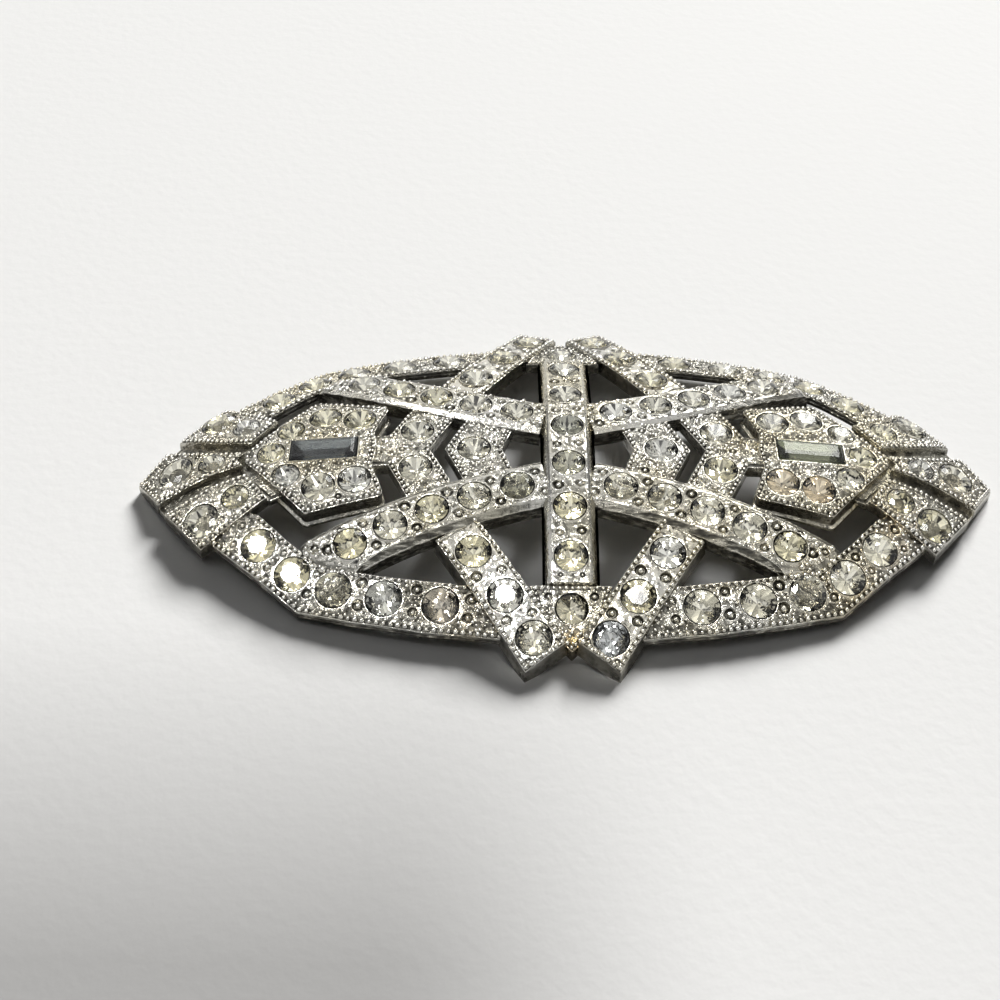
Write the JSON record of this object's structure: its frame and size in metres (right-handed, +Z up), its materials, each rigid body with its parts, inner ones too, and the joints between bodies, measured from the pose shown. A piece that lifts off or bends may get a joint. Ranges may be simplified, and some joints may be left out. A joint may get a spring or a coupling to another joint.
{
  "type": "rhinestone brooch",
  "caption": "Domed openwork brooch of cast white metal, grain-set all over with round foiled stones, a baguette stone in each shoulder and a plain pin across the back.",
  "frame": {"origin": "middle of the brooch on the surface that it lies on", "axes": "+X along the brooch from one end cap to the other, +Y towards its upper edge as it is pictured, +Z up out of its stoned face"},
  "size_m": [0.076, 0.0422, 0.0069],
  "materials": {
    "white_metal": "rhodium-bright cast white metal, tarnished in the recesses",
    "straw_stone": "polished, faceted, foiled on the back and yellowed with age",
    "blue_grey_stone": "polished, step cut, its foil gone dark",
    "green_grey_stone": "polished, step cut, pale",
    "steel_pin": "plain drawn wire with soldered feet"
  },
  "bodies": {
    "root": {"cast_mount": "white_metal", "centre_stones": "straw_stone", "strap_stones": "straw_stone", "border_stones": "straw_stone", "arc_stones": "straw_stone", "chevron_stones": "straw_stone", "block_stones": "straw_stone", "end_stones": "straw_stone", "baguette_left": "blue_grey_stone", "baguette_right": "green_grey_stone", "pin_back": "steel_pin"}
  },
  "joints": []
}
